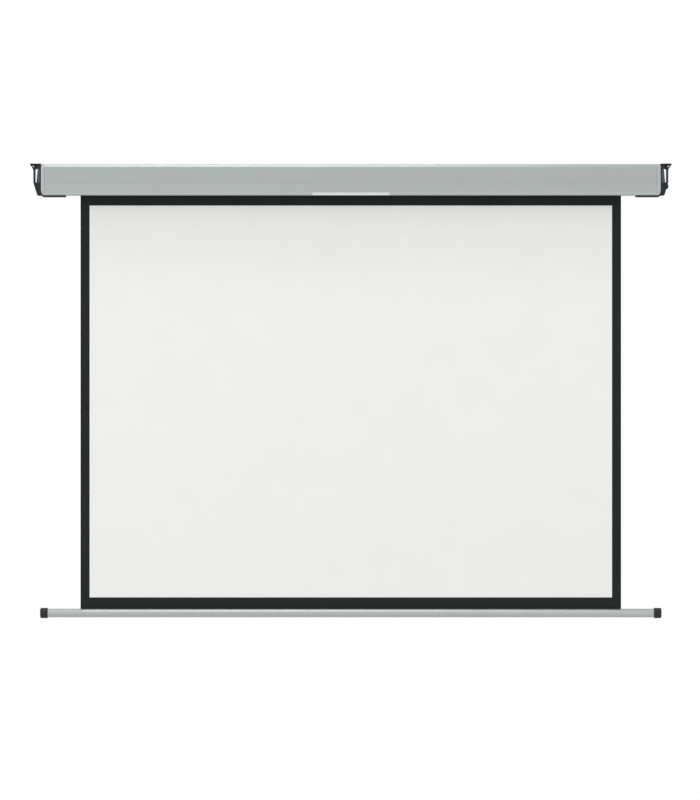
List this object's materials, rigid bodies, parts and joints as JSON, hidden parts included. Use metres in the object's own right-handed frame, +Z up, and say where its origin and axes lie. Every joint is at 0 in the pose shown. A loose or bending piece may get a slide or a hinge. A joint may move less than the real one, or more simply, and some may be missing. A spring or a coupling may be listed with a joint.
{
  "type": "motorized projection screen",
  "caption": "Wall or ceiling hung motorized projection screen: silver case, black hangers, white fabric with black borders on a winding tube, round bottom bar.",
  "frame": {"origin": "in the ceiling plane, midway between the tops of the two hangers' ceiling flanges", "axes": "+X along the case to the viewer's right, +Y from the viewer to the wall, +Z up"},
  "size_m": [1.766, 0.092, 1.2519],
  "materials": {
    "silver_paint": "satin silver paint",
    "silver_cap": "satin silver moulding",
    "black_plastic": "fine matte black moulding",
    "bar_aluminium": "satin anodised",
    "steel": "plain steel",
    "galvanised": "zinc plated",
    "brass": "plain brass",
    "screen_white": "matte white screen cloth with black borders",
    "pale_strip": "pale bare strip",
    "grey_nylon": "moulded nylon",
    "yellow_plastic": "moulded",
    "white_plastic": "moulded"
  },
  "bodies": {
    "case": {"case_shell": "silver_paint", "left_end_cap": "silver_cap", "right_end_cap": "silver_cap", "left_hanger": "black_plastic", "right_hanger": "black_plastic", "lip_strip": "pale_strip", "cap_screw_left_1": "steel", "cap_screw_left_2": "steel", "cap_screw_left_3": "steel", "cap_screw_left_4": "steel", "cap_screw_right_1": "steel", "cap_screw_right_2": "steel", "cap_screw_right_3": "steel", "cap_screw_right_4": "steel", "bracket_screw_left_1": "steel", "bracket_screw_left_2": "steel", "bracket_screw_right_1": "steel", "bracket_screw_right_2": "steel", "left_lock_screw": "steel", "right_lock_screw": "steel", "inlet_gland": "black_plastic", "gland_nut": "black_plastic", "idler_bracket": "galvanised", "motor_bracket": "galvanised", "idler_pin": "steel", "motor_tube": "galvanised", "motor_head": "black_plastic", "output_bearing": "brass", "gearbox_cartridge": "grey_nylon", "brake_unit": "steel", "stator_pack": "steel", "capacitor": "white_plastic", "ring_gear": "steel", "screen_fabric": "screen_white"},
    "roller": {"roller_tube": "bar_aluminium", "fabric_spline": "white_plastic", "fabric_roll": "screen_white", "drive_wheel": "grey_nylon", "crown_ring": "grey_nylon", "shaft_clip": "steel", "output_shaft": "steel", "idler_plug": "grey_nylon", "idler_bearing": "brass"},
    "bar": {"bar_tube": "bar_aluminium", "bar_weight": "steel", "hem_rod": "grey_nylon", "fabric_hem": "screen_white", "left_bar_cap": "black_plastic", "right_bar_cap": "black_plastic"},
    "sun": {"sun_gear": "steel"},
    "planet_1": {"planet_gear_1": "steel"},
    "planet_2": {"planet_gear_2": "steel"},
    "planet_3": {"planet_gear_3": "steel"},
    "upper_limit": {"upper_limit_screw": "yellow_plastic"},
    "lower_limit": {"lower_limit_screw": "yellow_plastic"}
  },
  "joints": [
    {"name": "bar_slide", "type": "slide", "parent": "case", "child": "bar", "axis": [0, 0, 1], "range_m": [0, 1.128], "deforming": ["screen_fabric"]},
    {"name": "roller_spin", "type": "hinge", "parent": "case", "child": "roller", "pos_m": [0, 0, -0.044], "axis": [1, 0, 0], "range_deg": [-20, 2500]},
    {"name": "sun_spin", "type": "hinge", "parent": "case", "child": "sun", "pos_m": [0, 0, -0.044], "axis": [1, 0, 0], "range_deg": [-80, 10000]},
    {"name": "planet_1_spin", "type": "hinge", "parent": "roller", "child": "planet_1", "pos_m": [0, 0, -0.03499], "axis": [1, 0, 0], "range_deg": [-7500, 60]},
    {"name": "planet_2_spin", "type": "hinge", "parent": "roller", "child": "planet_2", "pos_m": [0, -0.0078, -0.0485], "axis": [1, 0, 0], "range_deg": [-7500, 60]},
    {"name": "planet_3_spin", "type": "hinge", "parent": "roller", "child": "planet_3", "pos_m": [0, 0.0078, -0.0485], "axis": [1, 0, 0], "range_deg": [-7500, 60]},
    {"name": "upper_limit_turn", "type": "hinge", "parent": "case", "child": "upper_limit", "pos_m": [0.8023, 0, -0.044], "axis": [0, 0.5, -0.866], "continuous": true},
    {"name": "lower_limit_turn", "type": "hinge", "parent": "case", "child": "lower_limit", "pos_m": [0.8123, 0, -0.044], "axis": [0, 0.5, -0.866], "continuous": true}
  ],
  "couplings": [
    {"joint": "roller_spin", "follows": "bar_slide", "rad_per_m": 38.33},
    {"joint": "sun_spin", "follows": "bar_slide", "rad_per_m": 153.32},
    {"joint": "planet_1_spin", "follows": "bar_slide", "rad_per_m": -114.99},
    {"joint": "planet_2_spin", "follows": "bar_slide", "rad_per_m": -114.99},
    {"joint": "planet_3_spin", "follows": "bar_slide", "rad_per_m": -114.99}
  ]
}
